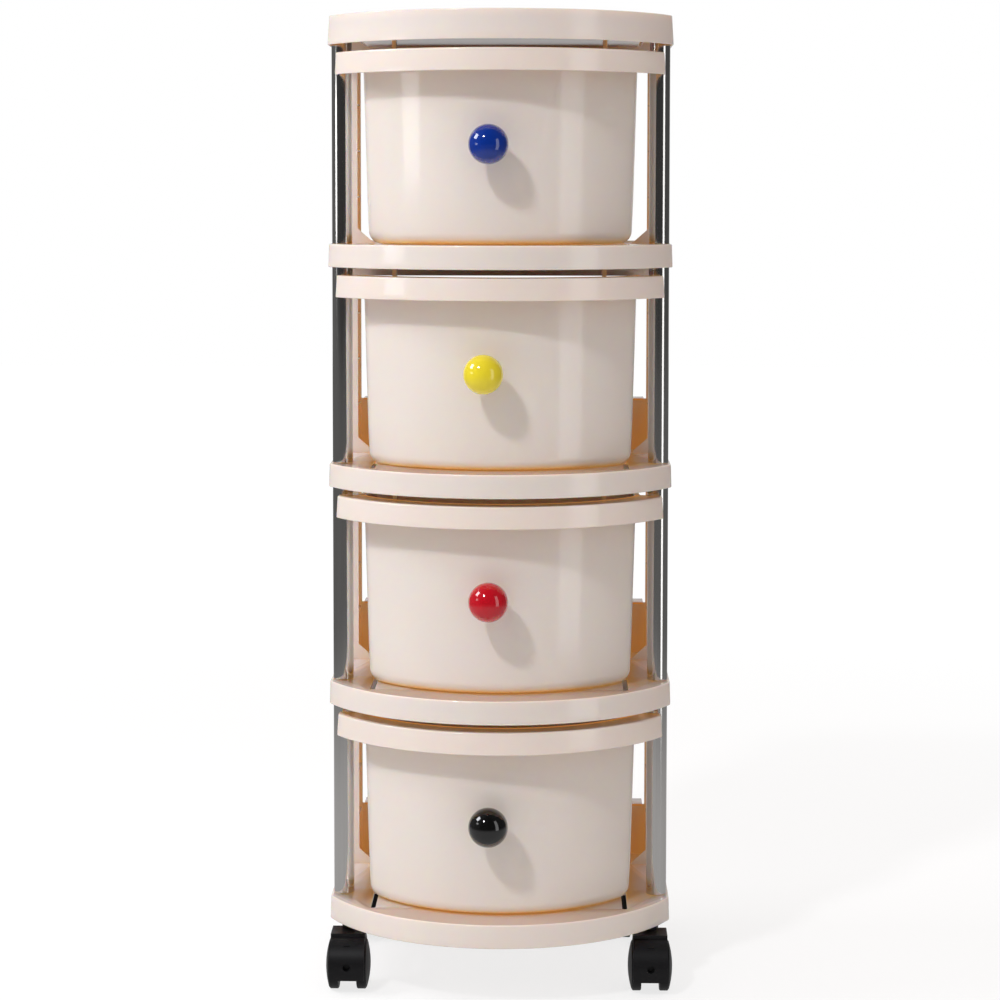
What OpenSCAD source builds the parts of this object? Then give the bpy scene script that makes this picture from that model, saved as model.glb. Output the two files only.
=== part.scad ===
// Rolling drawer tower: four bow-fronted tub drawers between five moulded trays,
// two bright tubes at the front corners of each tier, a moulded frame at the back,
// ball knobs, and four swivel castors with twin wheels.
// X runs to the right, Y to the back and Z up. The floor is z = 0 and the origin is
// under the middle of the whole piece, knobs included.

/* [Tower] */
// Width of the trays
tray_w = 320; // [300:1:340]
// Depth of the trays, from the bow of the front to the back
tray_d = 310; // [300:1:340]
// Height from one tray to the next
tier_h = 205; // [195:1:225]
// Radius of the bowed front
front_r = 176.2; // [172:0.1:190]

/* [Trays] */
// Height of the band round the shelf and base trays
band_h = 21.5; // [20:0.5:26]
// Height of the band round the top tray
top_band_h = 27; // [24:0.5:32]
// Thickness of the band
band_t = 2; // [1.6:0.1:2]
// Rounding of the upright corners of a tray
tray_corner_r = 16; // [14:1:20]

/* [Posts] */
// Outside diameter of the bright tubes
post_d = 19; // [16:0.5:19]
// Distance of a tube's axis from the middle of the tower
post_x = 148; // [146:0.5:148]
// Distance of a tube's axis behind the bow
post_y = 118.7; // [118:0.1:124]

/* [Drawers] */
// Height of a drawer
drawer_h = 176; // [166:1:176]
// Half width of the tub at its top
tub_half_w = 127; // [120:0.5:128]
// How much the tub narrows on each side, down to its floor
tub_draft = 5; // [3:0.5:6]
// Half width of the bowed rim
rim_half_w = 152; // [148:0.5:152]
// Height of the rim's skirt
rim_h = 20.5; // [16:0.5:24]
// How far a drawer pulls out
drawer_travel = 185; // [100:1:185]

/* [Knobs] */
// Diameter of the ball
knob_d = 36; // [30:1:38]
// Height of a ball's centre above its drawer's floor
knob_z = 90; // [80:0.5:100]
// Distance of the balls to the left of the middle
knob_left = 8.5; // [0:0.5:15]
// The same for the second drawer, whose ball stands further over
second_knob_left = 13; // [0:0.5:15]

/* [Castors] */
// Height of the base tray's band above the floor
castor_h = 59; // [59:1:64]
// Diameter of a wheel
wheel_d = 47; // [44:0.5:47]
// Distance from the swivel axis to the wheels' axle
castor_trail = 16; // [12:0.5:18]

/* [Hidden] */
$fn = 96;
cut = 1;                        // how far a cut runs past a face

cream = [0.93, 0.89, 0.85];
chrome = [0.78, 0.77, 0.76];
black = [0.1, 0.1, 0.11];
steel = [0.62, 0.63, 0.65];
knob_colours = [[0.06, 0.22, 0.63], [0.93, 0.87, 0.24], [0.72, 0.04, 0.12], [0.04, 0.04, 0.04]];

// Everything is drawn with y = 0 at the bow of the front, and moved once at the end.
knob_reach = knob_d / 2;
front_y = (knob_reach - tray_d) / 2;
arc_y = front_r;                // the bow's centre lies on the middle plane

// Trays, from the bottom edge of the band
deck_lip = 0.2;                 // the band's edge stands this much above the front deck
deck_t = 3;
deck_step = 2;                  // the deck is lower behind the step
deck_z = band_h - deck_lip;
rear_deck_z = deck_z - deck_step;
rear_under_z = rear_deck_z - deck_t;
step_y = 128.4;                 // just behind the tubes
slot_w = 4.8;
slot_x = 117;
slot_front_y = 60;
slot_back_y = 266;
rail_x = 133;
rail_front_y = 66;
tab_x = 96;
tab_y = 66;

// Posts
tube_t = 1;
spigot_gap = 0.08;
spigot_r = post_d / 2 - tube_t - spigot_gap;
spigot_h = 14;
post_top_z = tier_h + 8;        // above the lower tray's band edge

// Back frames
frame_y = 232;
frame_d = 48;
stile_in = 142;
stile_out = 156.5;
frame_t = 2;
frame_h = tier_h + rear_under_z - rear_deck_z;
foot_rise = 15;
foot_run = 17;
low_wall_h = 50.5;
low_wall_d = 24;
boss_x = 149.5;
peg_y = frame_y + 36;           // pegs that hang from the tray above
peg_r = 3;
screw_y = frame_y + 12;         // screws that come up through the tray below

// Drawers
glide_gap = 0.5;
drawer_z = deck_z + glide_gap;
tub_t = 2;
tub_inset = 25.45;              // from the bow to the tub's front, at the top
tub_corner_r = 32;
tub_back_y = 272;
tub_round = 12;
tub_r = front_r - tub_inset;
rim_gap = 0.8;
rim_r = front_r - rim_gap;
rim_back_y = 100;
rim_corner_r = 6.4;
rim_flare = 1.2;
guide_w = 3.6;
guide_l = 9;
guide_y = slot_front_y + drawer_travel + 1; // the pegs stop at the front of their slots
pad_r = 9;
pad_front_y = 26.2;
pad_back_y = 32.4;

// Castors
castor_fx = 141;
castor_fy = 92;
castor_rx = 136;
castor_ry = 270;
axle_z = wheel_d / 2;
axle_r = 2.5;
fit = 0.05;                     // radial clearance of a shaft in its bore
wheel_in = 8.5;
wheel_out = 20.7;
web_half = 8;
hood_half = 16;
hood_in_r = wheel_d / 2 + 1.2;
hood_out_r = hood_in_r + 2.8;
hood_top_z = 53;
stem_r = 5.5;
pivot_r = 4;

// ---------------------------------------------------------------- outlines

// Solid with a bowed front, straight sides and round corners. Its child is the
// upright section of the wall: x = 0 is the outline, and -$reach its inner end.
module bowed_solid(half_w, r, corner_r, back_y, z0, z1) {
    cx = half_w - corner_r;
    dy = sqrt(pow(r - corner_r, 2) - pow(cx, 2));
    cy = arc_y - dy;
    ry = back_y - corner_r;
    h = z1 - z0;
    intersection() {
        translate([0, arc_y, 0])
            rotate_extrude()
                translate([r, 0])
                    let($reach = r - 1) children();
        translate([0, 0, z0])
            linear_extrude(h)
                polygon([[0, arc_y], [-2 * cx, arc_y - 2 * dy], [-2 * cx, -tray_d],
                    [2 * cx, -tray_d], [2 * cx, arc_y - 2 * dy]]);
    }
    for (side = [0, 1])
        mirror([side, 0, 0]) {
            intersection() {
                translate([cx, cy, 0])
                    rotate_extrude()
                        translate([corner_r, 0])
                            let($reach = corner_r) children();
                translate([0, 0, z0])
                    linear_extrude(h)
                        polygon([[cx, cy], [2 * cx, cy - dy], [2 * cx, cy]]);
            }
            translate([half_w, ry, 0])
                rotate([90, 0, 0])
                    linear_extrude(ry - cy)
                        let($reach = corner_r) children();
            translate([cx, ry, 0])
                rotate_extrude(angle = 90)
                    translate([corner_r, 0])
                        let($reach = corner_r) children();
        }
    translate([-cx, back_y, 0])
        rotate([90, 0, 90])
            linear_extrude(2 * cx)
                let($reach = corner_r) children();
    translate([0, 0, z0])
        linear_extrude(h)
            polygon([[-cx / 2, arc_y - dy / 2], [-cx, cy], [-cx, ry], [cx, ry], [cx, cy],
                [cx / 2, arc_y - dy / 2]]);
}

// Section of a leaning wall, from x = foot at z0 to x = 0 at z1, with round edges.
module wall_section(z0, z1, foot = 0, foot_round = 0, top_round = 0) {
    h = z1 - z0;
    slant = sqrt(h * h + foot * foot);
    nx = h / slant;
    nz = foot / slant;
    fx = foot * (1 - foot_round / h) - foot_round / nx;
    tx = foot * top_round / h - top_round / nx;
    polygon([[-$reach, z0], [fx, z0],
        [fx + foot_round * nx, z0 + foot_round * (1 + nz)],
        [tx + top_round * nx, z1 - top_round * (1 - nz)],
        [tx, z1], [-$reach, z1]]);
    if (foot_round > 0)
        translate([fx, z0 + foot_round])
            circle(foot_round);
    if (top_round > 0)
        translate([tx, z1 - top_round])
            circle(top_round);
}

// ---------------------------------------------------------------- trays

module tray_solid(inset, z0, z1) {
    bowed_solid(tray_w / 2 - inset, front_r - inset, tray_corner_r - inset, tray_d - inset, z0, z1)
        wall_section(z0, z1);
}

// A tray with its band, its deck in two levels, and what hangs under it.
module tray(height, lip) {
    front_deck_z = height - lip;
    back_deck_z = front_deck_z - deck_step;
    under_z = back_deck_z - deck_t;
    difference() {
        bowed_solid(tray_w / 2, front_r, tray_corner_r, tray_d, 0, height)
            wall_section(0, height, foot_round = 0.6, top_round = 1.2);
        tray_solid(band_t, -cut, under_z);
        intersection() {
            tray_solid(band_t, -cut, front_deck_z - deck_t);
            translate([-tray_w / 2, 0, -cut])
                cube([tray_w, step_y - deck_t, height]);
        }
        tray_solid(band_t, front_deck_z, height + cut);
        intersection() {
            tray_solid(band_t, back_deck_z, height + cut);
            translate([-tray_w / 2, step_y, 0])
                cube([tray_w, tray_d, height + cut]);
        }
    }
}

// The slots that the drawer's guide pegs run in, right through the deck.
module deck_slots() {
    for (side = [-1, 1])
        translate([side * slot_x - slot_w / 2, slot_front_y, -cut])
            cube([slot_w, slot_back_y - slot_front_y, band_h + 2 * cut]);
}

// Low rails on the rear deck, level with the front deck.
module deck_rails() {
    for (side = [-1, 1])
        translate([side * 100 - 3, step_y, rear_deck_z])
            cube([6, slot_back_y - step_y, deck_step]);
}

module post_spigots() {
    for (side = [-1, 1])
        translate([side * post_x, post_y, deck_z - 0.5])
            cylinder(r = spigot_r, h = spigot_h + 0.5);
}

// Shoulders and spigots that hold the tubes under a tray, pegs for the back frame,
// side rails, and two tabs that hang just behind the drawer's front wall.
module tray_underside(under_z) {
    shoulder_z = post_top_z - tier_h;
    for (side = [-1, 1]) {
        translate([side * post_x, post_y, shoulder_z])
            cylinder(r = post_d / 2, h = under_z - shoulder_z);
        translate([side * post_x, post_y, shoulder_z - spigot_h])
            cylinder(r = spigot_r, h = spigot_h);
        translate([side * boss_x, peg_y, rear_under_z - 6])
            cylinder(r = peg_r, h = 6 + under_z - rear_under_z);
        translate([side * rail_x - 1, rail_front_y, 6])
            cube([2, frame_y - 4 - rail_front_y, under_z + deck_step - 5.5]);
        translate([side * tab_x - 2, tab_y, -11])
            cube([4, 12, under_z + deck_step + 11.5]);
    }
}

// Holes for the screws that go up into a back frame.
module frame_screw_holes() {
    for (side = [-1, 1])
        translate([side * boss_x, screw_y, 0])
            cylinder(r = 2.2, h = band_h);
}

module shelf_tray(level) {
    color(cream)
        translate([0, front_y, castor_h + level * tier_h]) {
            difference() {
                union() {
                    tray(band_h, deck_lip);
                    deck_rails();
                    post_spigots();
                }
                deck_slots();
                frame_screw_holes();
            }
            tray_underside(rear_under_z);
        }
}

module top_tray() {
    lip = 3;
    under_z = top_band_h - lip - deck_step - deck_t;
    color(cream)
        translate([0, front_y, castor_h + 4 * tier_h]) {
            tray(top_band_h, lip);
            tray_underside(under_z);
            for (side = [-1, 1])
                translate([side * boss_x, peg_y, rear_under_z])
                    cylinder(r = 5.5, h = under_z - rear_under_z);
        }
}

module castor_places() {
    for (place = [[-1, castor_fx, castor_fy], [1, castor_fx, castor_fy],
        [-1, castor_rx, castor_ry], [1, castor_rx, castor_ry]])
        translate([place[0] * place[1], place[2], 0])
            children();
}

module base_tray() {
    socket_z = 0.5;
    color(cream)
        translate([0, front_y, castor_h]) {
            difference() {
                union() {
                    tray(band_h, deck_lip);
                    deck_rails();
                    post_spigots();
                    castor_places()
                        translate([0, 0, socket_z])
                            cylinder(r = 8, h = deck_z - deck_t + 0.5 - socket_z);
                }
                deck_slots();
                frame_screw_holes();
                castor_places()
                    translate([0, 0, -cut])
                        cylinder(r = stem_r + fit, h = 16 + cut);
            }
        }
}

// ---------------------------------------------------------------- posts

module post(side, level) {
    color(chrome)
        translate([side * post_x, front_y + post_y, castor_h + level * tier_h + deck_z])
            difference() {
                cylinder(d = post_d, h = post_top_z - deck_z);
                translate([0, 0, -cut])
                    cylinder(d = post_d - 2 * tube_t, h = post_top_z + 2 * cut);
            }
}

// ---------------------------------------------------------------- back frames

// Front face of a frame: a portal whose lower corners are cut off at a slant.
module portal_outline(foot_gussets) {
    head_z = frame_h - rear_under_z + 1;
    difference() {
        translate([-stile_out, 0])
            square([2 * stile_out, frame_h]);
        if (foot_gussets)
            polygon([[-stile_in, foot_rise], [-stile_in, head_z], [stile_in, head_z],
                [stile_in, foot_rise], [stile_in - foot_run, -cut], [foot_run - stile_in, -cut]]);
        else
            translate([-stile_in, -cut])
                square([2 * stile_in, head_z + cut]);
    }
}

module portal_plate(y, foot_gussets) {
    translate([0, y + frame_t, 0])
        rotate([90, 0, 0])
            linear_extrude(frame_t)
                portal_outline(foot_gussets);
}

// The channel behind each stile, open to the inside, with ribs across it.
module stile_channel(side, rib_step) {
    translate([side > 0 ? stile_out - frame_t : -stile_out, 0, 0])
        cube([frame_t, frame_d, frame_h]);
    for (z = [0, frame_h - frame_t])
        translate([side > 0 ? stile_in : -stile_out, 0, z])
            cube([stile_out - stile_in, frame_d, frame_t]);
    for (z = [rib_step:rib_step:frame_h - rib_step / 2])
        translate([side > 0 ? stile_in + 1 : -stile_out, 0, z])
            cube([stile_out - stile_in - 1, frame_d, 1.6]);
    translate([side * boss_x, screw_y - frame_y, 0])
        cylinder(r = 4.5, h = 14);
}

// Hollow rail across the back of the lower three frames, which the drawers stop at.
module low_wall() {
    half = 140;
    translate([-stile_in, frame_d - frame_t, 0])
        cube([2 * stile_in, frame_t, low_wall_h]);
    translate([-half, frame_d - frame_t, low_wall_h - frame_t])
        cube([2 * half, low_wall_d + frame_t, frame_t]);
    translate([-half, frame_d + low_wall_d - frame_t, 0])
        cube([2 * half, frame_t, low_wall_h]);
    for (x = [-half, -50, 50 - frame_t, half - frame_t])
        translate([x, frame_d - frame_t, 0])
            cube([frame_t, low_wall_d, low_wall_h]);
}

module back_frame(tier) {
    open_foot = 25;
    color(cream)
        translate([0, front_y + frame_y, castor_h + (4 - tier) * tier_h + rear_deck_z])
            difference() {
                union() {
                    portal_plate(0, true);
                    portal_plate(frame_d - frame_t, false);
                    for (side = [-1, 1])
                        stile_channel(side, 45);
                    if (tier > 1)
                        low_wall();
                }
                if (tier == 1)
                    for (side = [-1, 1])
                        translate([side > 0 ? stile_in - cut : -stile_out + 6, frame_d - frame_t - cut, -cut])
                            cube([stile_out - stile_in - 6 + cut, frame_t + 2 * cut, open_foot + cut]);
                for (side = [-1, 1]) {
                    translate([side * boss_x, peg_y - frame_y, frame_h - 8])
                        cylinder(r = peg_r + 0.1, h = 8 + cut);
                    translate([side * boss_x, screw_y - frame_y, -cut])
                        cylinder(r = 1.7, h = 12 + cut);
                    translate([side * boss_x, screw_y - frame_y, frame_h - 5])
                        cylinder(r = 4.5, h = 5 + cut);
                }
            }
}

module frame_screws() {
    color(steel)
        for (level = [0:3])
            for (side = [-1, 1])
                translate([side * boss_x, front_y + screw_y, castor_h + level * tier_h + rear_under_z]) {
                    cylinder(r = 1.65, h = deck_t + 9);
                    translate([0, 0, -2.4])
                        cylinder(r = 4, h = 2.4);
                }
}

// ---------------------------------------------------------------- drawers

// The tub as a solid: leaning walls and a rounded edge round its floor.
module tub_solid(inset, floor_z, top_z) {
    lean = tub_draft * (top_z - floor_z) / drawer_h;
    bowed_solid(tub_half_w - inset, tub_r - inset, tub_corner_r - inset, tub_back_y - inset,
        floor_z, top_z)
        wall_section(floor_z, top_z, foot = -lean, foot_round = tub_round - inset);
}

// The bowed rim: a flat ledge round the front with a flared skirt.
module rim_solid(inset, z0, z1, top_round) {
    behind_y = 200;
    intersection() {
        bowed_solid(rim_half_w - inset, rim_r - inset, rim_corner_r - inset, behind_y, z0, z1)
            wall_section(z0, z1, foot = rim_flare, top_round = top_round);
        translate([-tray_w / 2, -tray_w / 2, z0])
            cube([tray_w, tray_w / 2 + rim_back_y - inset, z1 - z0]);
    }
}

module rim_shell() {
    rim_z = drawer_h - rim_h;
    difference() {
        rim_solid(0, rim_z, drawer_h, 1.5);
        rim_solid(tub_t, rim_z - cut, drawer_h - tub_t, 0);
    }
}

// Narrow lip along the sides and the back of the tub.
module back_lip() {
    lip_w = 4;
    lip_t = 3;
    bowed_solid(tub_half_w + lip_w, tub_r + lip_w, tub_corner_r + lip_w, tub_back_y + lip_w,
        drawer_h - lip_t, drawer_h)
        wall_section(drawer_h - lip_t, drawer_h);
}

module drawer(tier) {
    screw_r = 2.1;
    color(cream)
        translate([0, front_y, castor_h + (4 - tier) * tier_h + drawer_z])
            difference() {
                union() {
                    difference() {
                        union() {
                            tub_solid(0, 0, drawer_h);
                            rim_shell();
                            back_lip();
                            for (side = [-1, 1])
                                translate([side * slot_x - guide_w / 2, guide_y, -5.2])
                                    cube([guide_w, guide_l, 10]);
                        }
                        tub_solid(tub_t, tub_t, drawer_h + cut);
                    }
                    translate([knob_x(tier), pad_back_y, knob_z])
                        rotate([90, 0, 0])
                            cylinder(r = pad_r, h = pad_back_y - pad_front_y);
                }
                translate([knob_x(tier), pad_back_y + cut, knob_z])
                    rotate([90, 0, 0])
                        cylinder(r = screw_r, h = pad_back_y - pad_front_y + 2 * cut);
            }
}

// ---------------------------------------------------------------- knobs

function knob_x(tier) = tier == 2 ? -second_knob_left : -knob_left;

module on_knob_axis(tier) {
    translate([knob_x(tier), front_y, castor_h + (4 - tier) * tier_h + drawer_z + knob_z])
        rotate([-90, 0, 0])
            children();
}

module knob(tier) {
    color(knob_colours[tier - 1])
        on_knob_axis(tier)
            difference() {
                union() {
                    sphere(d = knob_d);
                    cylinder(r = 6.5, h = pad_front_y);
                    translate([0, 0, pad_front_y - 2])
                        cylinder(r = 8.5, h = 2);
                }
                translate([0, 0, 5])
                    cylinder(r = 1.9, h = pad_front_y);
            }
}

module knob_screw(tier) {
    color(steel)
        on_knob_axis(tier)
            difference() {
                union() {
                    translate([0, 0, 7])
                        cylinder(r = 1.85, h = pad_back_y - 7 + 1);
                    translate([0, 0, pad_back_y])
                        cylinder(r = 4.2, h = 2.6);
                }
                for (turn = [0, 90])
                    rotate(turn)
                        translate([-2.6, -0.5, pad_back_y + 1.4])
                            cube([5.2, 1, 2]);
            }
}

// ---------------------------------------------------------------- castors

module at_castor(side, rear) {
    x = rear ? castor_rx : castor_fx;
    y = rear ? castor_ry : castor_fy;
    translate([side * x, front_y + y, 0])
        children();
}

module castor_stem(side, rear) {
    color(steel)
        at_castor(side, rear) {
            translate([0, 0, castor_h - 0.3])
                cylinder(r = stem_r, h = 15.8);
            translate([0, 0, castor_h - 1.3])
                cylinder(r = 6.5, h = 1);
            translate([0, 0, 30])
                cylinder(r = pivot_r, h = castor_h - 30 - 1);
        }
}

// Side view of the hood's cover, with y = 0 at the axle and z from the floor.
module hood_outline(inner_r) {
    difference() {
        translate([0, axle_z])
            circle(hood_out_r);
        if (inner_r > 0)
            translate([0, axle_z])
                circle(inner_r);
        translate([-hood_out_r, axle_z - 10 - hood_out_r])
            square([2 * hood_out_r, hood_out_r]);
        translate([0, axle_z - hood_out_r])
            square([hood_out_r, hood_out_r + 2]);
    }
}

module castor_hood(side, rear) {
    neck_r = 6.8;
    color(black)
        at_castor(side, rear)
            difference() {
                union() {
                    for (half = [[web_half, 0], [hood_half, hood_in_r]])
                        translate([-half[0], -castor_trail, 0])
                            rotate([90, 0, 90])
                                linear_extrude(2 * half[0])
                                    hood_outline(half[1]);
                    translate([-web_half, -castor_trail - 4, axle_z - 10])
                        cube([2 * web_half, castor_trail + 12, 12]);
                    translate([-hood_half, -castor_trail - 7, hood_top_z - 5])
                        cube([2 * hood_half, castor_trail + 12, 5]);
                    translate([0, 0, 28])
                        cylinder(r = web_half, h = hood_top_z - 28);
                    translate([0, 0, hood_top_z - 1])
                        cylinder(r = neck_r, h = castor_h - hood_top_z - 0.8);
                }
                translate([0, 0, 29.5])
                    cylinder(r = pivot_r + fit, h = castor_h);
                translate([-hood_half, -castor_trail, axle_z])
                    rotate([0, 90, 0])
                        cylinder(r = axle_r + fit, h = 2 * hood_half);
                translate([0, -castor_trail - hood_out_r - cut, axle_z + 3])
                    rotate([-90, 0, 0])
                        cylinder(r = 3.4, h = 5 + cut);
                translate([-3, -castor_trail - hood_out_r + 4, axle_z + 20])
                    cube([6, 6, 2.4]);
            }
}

module castor_axle(side, rear) {
    half = 17.5;
    color(steel)
        at_castor(side, rear)
            translate([-half, -castor_trail, axle_z])
                rotate([0, 90, 0])
                    cylinder(r = axle_r, h = 2 * half);
}

// A wheel's section, with x the distance from its axis and y the distance outwards.
module wheel_section() {
    wide = wheel_out - wheel_in;
    tread_w = 8.4;
    difference() {
        union() {
            polygon([[0, 0], [wheel_d / 2 - 0.8, 0], [wheel_d / 2, 0.8],
                [wheel_d / 2, tread_w - 0.8], [wheel_d / 2 - 0.8, tread_w], [0, tread_w]]);
            intersection() {
                translate([0, wide - 76])
                    circle(76, $fn = 360);
                translate([0, tread_w - 1])
                    square([wheel_d / 2 - 1.5, wide]);
            }
        }
        translate([9, -cut])
            square([8, 2 + cut]);
        translate([-cut, -cut])
            square([axle_r + fit + cut, 9.6 + cut]);
    }
}

module wheel(side, rear, half) {
    color(black)
        at_castor(side, rear)
            translate([half * wheel_in, -castor_trail, axle_z])
                rotate([0, half * 90, 0])
                    rotate_extrude()
                        wheel_section();
}

// ---------------------------------------------------------------- the pieces

top_tray();
shelf_tray(3);  // shelf_tray_1
shelf_tray(2);  // shelf_tray_2
shelf_tray(1);  // shelf_tray_3
base_tray();
post(-1, 3);  // post_left_1
post(-1, 2);  // post_left_2
post(-1, 1);  // post_left_3
post(-1, 0);  // post_left_4
post(1, 3);  // post_right_1
post(1, 2);  // post_right_2
post(1, 1);  // post_right_3
post(1, 0);  // post_right_4
back_frame(1);  // back_frame_1
back_frame(2);  // back_frame_2
back_frame(3);  // back_frame_3
back_frame(4);  // back_frame_4
frame_screws();
drawer(1);  // drawer_1
drawer(2);  // drawer_2
drawer(3);  // drawer_3
drawer(4);  // drawer_4
knob(1);  // knob_1
knob(2);  // knob_2
knob(3);  // knob_3
knob(4);  // knob_4
knob_screw(1);  // knob_screw_1
knob_screw(2);  // knob_screw_2
knob_screw(3);  // knob_screw_3
knob_screw(4);  // knob_screw_4
castor_stem(-1, false);  // castor_stem_fl
castor_stem(1, false);  // castor_stem_fr
castor_stem(-1, true);  // castor_stem_rl
castor_stem(1, true);  // castor_stem_rr
castor_hood(-1, false);  // castor_hood_fl
castor_hood(1, false);  // castor_hood_fr
castor_hood(-1, true);  // castor_hood_rl
castor_hood(1, true);  // castor_hood_rr
castor_axle(-1, false);  // castor_axle_fl
castor_axle(1, false);  // castor_axle_fr
castor_axle(-1, true);  // castor_axle_rl
castor_axle(1, true);  // castor_axle_rr
wheel(-1, false, -1);  // wheel_fl_left
wheel(-1, false, 1);  // wheel_fl_right
wheel(1, false, -1);  // wheel_fr_left
wheel(1, false, 1);  // wheel_fr_right
wheel(-1, true, -1);  // wheel_rl_left
wheel(-1, true, 1);  // wheel_rl_right
wheel(1, true, -1);  // wheel_rr_left
wheel(1, true, 1);  // wheel_rr_right
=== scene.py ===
import math

import bmesh
import bpy
from bpy.props import FloatProperty, FloatVectorProperty, IntProperty, PointerProperty
from mathutils import Matrix, Vector


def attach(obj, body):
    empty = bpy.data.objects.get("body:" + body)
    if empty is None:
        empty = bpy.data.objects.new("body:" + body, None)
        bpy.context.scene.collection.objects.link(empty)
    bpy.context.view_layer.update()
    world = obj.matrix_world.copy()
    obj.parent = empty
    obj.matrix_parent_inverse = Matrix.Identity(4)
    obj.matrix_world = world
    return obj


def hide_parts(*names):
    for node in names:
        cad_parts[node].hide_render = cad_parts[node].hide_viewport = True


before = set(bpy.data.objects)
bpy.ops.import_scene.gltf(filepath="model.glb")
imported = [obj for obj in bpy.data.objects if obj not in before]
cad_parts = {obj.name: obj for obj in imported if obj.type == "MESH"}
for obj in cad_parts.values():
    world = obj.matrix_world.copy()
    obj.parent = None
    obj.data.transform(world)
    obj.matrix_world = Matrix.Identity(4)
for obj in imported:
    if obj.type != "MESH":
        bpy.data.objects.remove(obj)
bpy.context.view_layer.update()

bl_info = {
    "name": "Rolling drawer tower",
    "version": (1, 0, 0),
    "blender": (4, 5, 0),
    "location": "View3D > Sidebar > Drawer tower",
    "description": "Builds a bow-fronted drawer tower, its finishes and its studio",
    "category": "Object",
}

MM = 0.001
FRONT_Y = -146.0            # the bow of the trays, in the frame
BOW_R = 176.2               # radius of a tray's bow
ARC_Y = FRONT_Y + BOW_R     # centre of every bow
TRAY_D = 310.0
CASTOR_H = 59.0             # the base tray's lower edge
TIER_H = 205.0
DECK_Z = 21.3               # front deck above a tray's lower edge
REAR_DECK_Z = 19.3
DRAWER_Z = 21.8             # a tub's floor above the tray's lower edge
POST_X = 148.0              # a tube's axis
POST_Y = FRONT_Y + 118.7
STEP_Y = FRONT_Y + 128.4    # where the deck steps down, just behind the tubes
FRAME_Y = FRONT_Y + 232.0   # front face of a back frame
BOSS_X = 149.5              # pegs and screws that join trays and back frames
TUB_BACK_Y = FRONT_Y + 272.0
KNOB_Z = 90.0
KNOB_X = (-8.5, -13.0, -8.5, -8.5)
TRAYS = ("top_tray", "shelf_tray_1", "shelf_tray_2", "shelf_tray_3", "base_tray")
CORNERS = ("fl", "fr", "rl", "rr")
LENS_PX = 2647.9            # the camera's lens in pixels of a picture 1000 wide
CAMERA_AT = (0.0501, -2.5024, 0.7389)
CAMERA_PITCH, CAMERA_YAW, CAMERA_ROLL = 0.0704, 0.0204, -0.0008


# ------------------------------------------------------------------ settings

class TowerSizes(bpy.types.PropertyGroup):
    """Sizes of the moulded pieces, in millimetres"""
    tray_half: FloatProperty(name="Tray half width", default=160.0, min=140.0, max=180.0,
                             description="Half the width of every tray")
    tray_corner: FloatProperty(name="Tray corner", default=16.0, min=8.0, max=24.0,
                               description="Rounding of a tray's upright corners")
    edge_round: FloatProperty(name="Edge rounding", default=1.2, min=0.3, max=2.0,
                              description="Rounding of the moulded edges")
    wall: FloatProperty(name="Wall", default=2.0, min=1.2, max=3.0,
                        description="Thickness of the moulded walls")
    tub_round: FloatProperty(name="Tub floor rounding", default=12.0, min=6.0, max=16.0,
                             description="Rounding between a tub's floor and its walls")
    bow_steps: IntProperty(name="Bow steps", default=30, min=12, max=60,
                           description="Divisions of half a bow")
    knob_d: FloatProperty(name="Knob", default=36.0, min=30.0, max=38.0,
                          description="Diameter of a ball knob")


class TowerColours(bpy.types.PropertyGroup):
    """Colours of the finishes"""
    cream: FloatVectorProperty(name="Cream", subtype="COLOR", size=3, min=0, max=1,
                               default=(0.845, 0.745, 0.69), description="Moulded plastic")
    # painted shade: the colour that recesses of the moulded plastic are painted towards, also the colour of
    # their painted glow
    painted_shade: FloatVectorProperty(name="Shade", subtype="COLOR", size=3, min=0, max=1,
                               default=(0.93, 0.58, 0.20),
                               description="Moulded plastic deep between other walls")
    blue: FloatVectorProperty(name="Blue", subtype="COLOR", size=3, min=0, max=1,
                              default=(0.0015, 0.028, 0.26), description="Top knob")
    yellow: FloatVectorProperty(name="Yellow", subtype="COLOR", size=3, min=0, max=1,
                                default=(0.83, 0.69, 0.03), description="Second knob")
    red: FloatVectorProperty(name="Red", subtype="COLOR", size=3, min=0, max=1,
                             default=(0.50, 0.004, 0.014), description="Third knob")
    black: FloatVectorProperty(name="Black", subtype="COLOR", size=3, min=0, max=1,
                               default=(0.003, 0.003, 0.003), description="Lowest knob")
    castor: FloatVectorProperty(name="Castor black", subtype="COLOR", size=3, min=0, max=1,
                                default=(0.007, 0.007, 0.008), description="Castor plastic")


def sizes():
    return bpy.context.scene.tower_sizes


def colours():
    return bpy.context.scene.tower_colours


# ------------------------------------------------------------------ mesh helpers

def tray_base(number):
    """Height of the lower edge of tray 0 (top) to 4 (base), the tray that tier 1 to 4 stands on."""
    return CASTOR_H + (4 - number) * TIER_H


def new_verts(bm, known):
    return [v for v in bm.verts if v not in known]


def swing(bm, vert, centre, angle, count):
    """Draws an arc on from a vertex and returns its last vertex."""
    out = bmesh.ops.spin(bm, geom=[vert], cent=centre, axis=(0, 0, 1), angle=angle, steps=count)
    return next(g for g in out["geom_last"] if isinstance(g, bmesh.types.BMVert))


def joined_edges(start):
    """Every edge that hangs together with a vertex, in the order in which it is met."""
    edges, todo = {}, [start]
    while todo:
        for e in todo.pop().link_edges:
            if e not in edges:
                edges[e] = True
                todo.extend(e.verts)
    return list(edges)


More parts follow.
